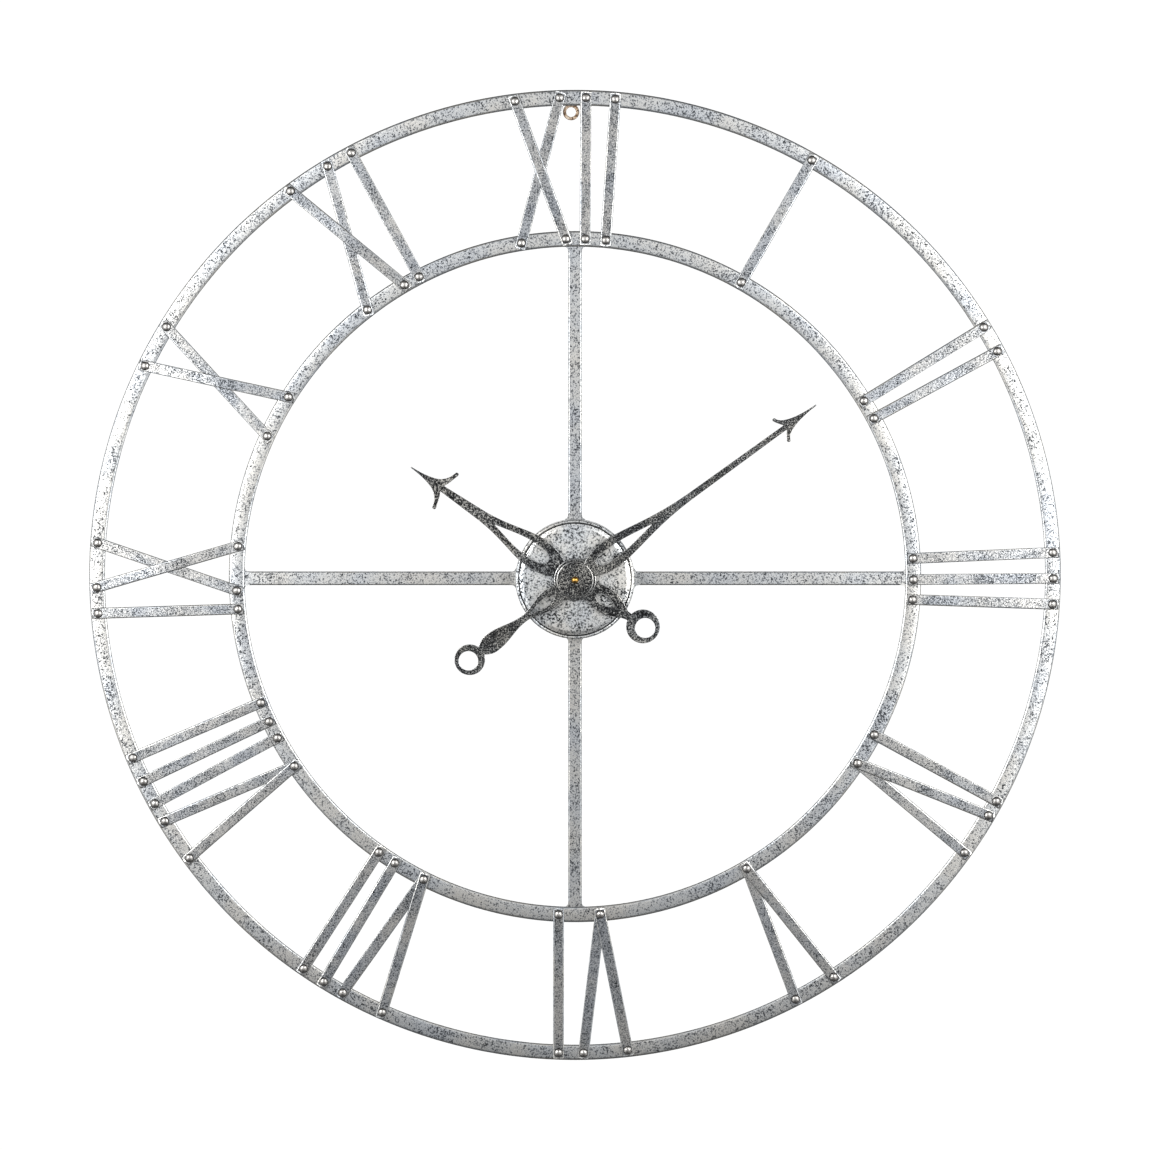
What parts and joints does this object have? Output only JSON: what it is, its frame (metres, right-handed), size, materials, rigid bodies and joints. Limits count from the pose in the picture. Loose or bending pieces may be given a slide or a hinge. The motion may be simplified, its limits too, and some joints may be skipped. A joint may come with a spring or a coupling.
{
  "type": "wall clock",
  "caption": "Open-frame round wall clock: riveted steel hoops carry Roman numeral bars, spokes hold a hub cup with a battery movement, and two pierced hands turn in front.",
  "frame": {"origin": "on the hands' axis, midway between the wall and the front end of the minute arbor", "axes": "+Z towards twelve o'clock, +Y towards the wall, +X towards three o'clock; the dial faces -Y"},
  "size_m": [0.7999, 0.034, 0.8],
  "materials": {
    "hoop_steel": "speckled galvanised grey",
    "bar_steel": "speckled galvanised grey",
    "hub_steel": "spun, mottled galvanised grey",
    "eye_steel": "oil-browned",
    "rivet_steel": "bright domed heads",
    "hand_steel": "charcoal, speckled",
    "brass": "turned",
    "gasket_rubber": "matt",
    "case_plastic": "fine spark-eroded texture",
    "knob_plastic": "moulded",
    "wheel_plastic": "natural acetal",
    "battery_sleeve": "shrink sleeve with bare metal ends",
    "contact_steel": "nickel-plated spring strip",
    "board_laminate": "solder resist",
    "stator_iron": "stamped sheet",
    "coil_copper": "enamelled copper winding",
    "rotor_magnet": "ground magnet"
  },
  "bodies": {
    "clock_frame": {"outer_hoop": "hoop_steel", "inner_hoop": "hoop_steel", "spoke_12": "hoop_steel", "spoke_3": "hoop_steel", "spoke_6": "hoop_steel", "spoke_9": "hoop_steel", "hub_cup": "hub_steel", "hanging_eye": "eye_steel", "outer_rivets": "rivet_steel", "inner_rivets": "rivet_steel", "vee_rivets": "rivet_steel", "numeral_1_straight_bars": "bar_steel", "numeral_2_straight_bars": "bar_steel", "numeral_3_straight_bars": "bar_steel", "numeral_4_straight_bars": "bar_steel", "numeral_6_straight_bars": "bar_steel", "numeral_7_straight_bars": "bar_steel", "numeral_8_straight_bars": "bar_steel", "numeral_9_straight_bars": "bar_steel", "numeral_11_straight_bars": "bar_steel", "numeral_12_straight_bars": "bar_steel", "numeral_4_vee_under_bar": "bar_steel", "numeral_5_vee_under_bar": "bar_steel", "numeral_6_vee_under_bar": "bar_steel", "numeral_7_vee_under_bar": "bar_steel", "numeral_8_vee_under_bar": "bar_steel", "numeral_4_vee_over_bar": "bar_steel", "numeral_5_vee_over_bar": "bar_steel", "numeral_6_vee_over_bar": "bar_steel", "numeral_7_vee_over_bar": "bar_steel", "numeral_8_vee_over_bar": "bar_steel", "numeral_9_cross_under_bar": "bar_steel", "numeral_10_cross_under_bar": "bar_steel", "numeral_11_cross_under_bar": "bar_steel", "numeral_12_cross_under_bar": "bar_steel", "numeral_9_cross_over_bar": "bar_steel", "numeral_10_cross_over_bar": "bar_steel", "numeral_11_cross_over_bar": "bar_steel", "numeral_12_cross_over_bar": "bar_steel", "hub_gasket": "gasket_rubber", "bush_washer": "brass", "mounting_nut": "brass", "movement_case": "case_plastic", "train_plate": "wheel_plastic", "rear_cover": "case_plastic", "battery_contacts": "contact_steel", "circuit_board": "board_laminate", "motor_stator": "stator_iron", "motor_coil": "coil_copper"},
    "minute_shaft": {"minute_arbor": "brass", "minute_hand": "hand_steel"},
    "hour_shaft": {"hour_wheel": "wheel_plastic", "hour_hand": "hand_steel"},
    "setting_stem": {"motion_wheel": "wheel_plastic", "setting_knob": "knob_plastic"},
    "middle_wheel_body": {"middle_wheel": "wheel_plastic"},
    "third_wheel_body": {"third_wheel": "wheel_plastic"},
    "centre_wheel_body": {"centre_wheel": "wheel_plastic"},
    "rotor_body": {"motor_rotor": "rotor_magnet"},
    "battery_body": {"battery": "battery_sleeve"}
  },
  "joints": [
    {"name": "minute_turn", "type": "hinge", "parent": "clock_frame", "child": "minute_shaft", "pos_m": [0, 0, 0], "axis": [0, 1, 0], "continuous": true},
    {"name": "hour_turn", "type": "hinge", "parent": "clock_frame", "child": "hour_shaft", "pos_m": [0, 0, 0], "axis": [0, 1, 0], "continuous": true},
    {"name": "setting_stem_turn", "type": "hinge", "parent": "clock_frame", "child": "setting_stem", "pos_m": [0.0108, 0, 0], "axis": [0, 1, 0], "continuous": true},
    {"name": "middle_wheel_turn", "type": "hinge", "parent": "clock_frame", "child": "middle_wheel_body", "pos_m": [-0.00489, 0, 0.01641], "axis": [0, 1, 0], "continuous": true},
    {"name": "rotor_turn", "type": "hinge", "parent": "clock_frame", "child": "rotor_body", "pos_m": [0.00438, 0, 0.01392], "axis": [0, 1, 0], "continuous": true},
    {"name": "third_wheel_turn", "type": "hinge", "parent": "clock_frame", "child": "third_wheel_body", "pos_m": [-0.00758, 0, 0.00636], "axis": [0, 1, 0], "continuous": true},
    {"name": "centre_wheel_turn", "type": "hinge", "parent": "clock_frame", "child": "centre_wheel_body", "pos_m": [0, 0, 0], "axis": [0, 1, 0], "continuous": true},
    {"name": "battery_slide", "type": "slide", "parent": "clock_frame", "child": "battery_body", "axis": [0, 1, 0], "range_m": [0, 0.02]}
  ],
  "couplings": [
    {"joint": "hour_turn", "follows": "minute_turn", "ratio": 0.083333},
    {"joint": "setting_stem_turn", "follows": "minute_turn", "ratio": -0.33333},
    {"joint": "rotor_turn", "follows": "middle_wheel_turn", "ratio": -15},
    {"joint": "third_wheel_turn", "follows": "middle_wheel_turn", "ratio": -0.083333},
    {"joint": "centre_wheel_turn", "follows": "middle_wheel_turn", "ratio": 0.0083333}
  ]
}
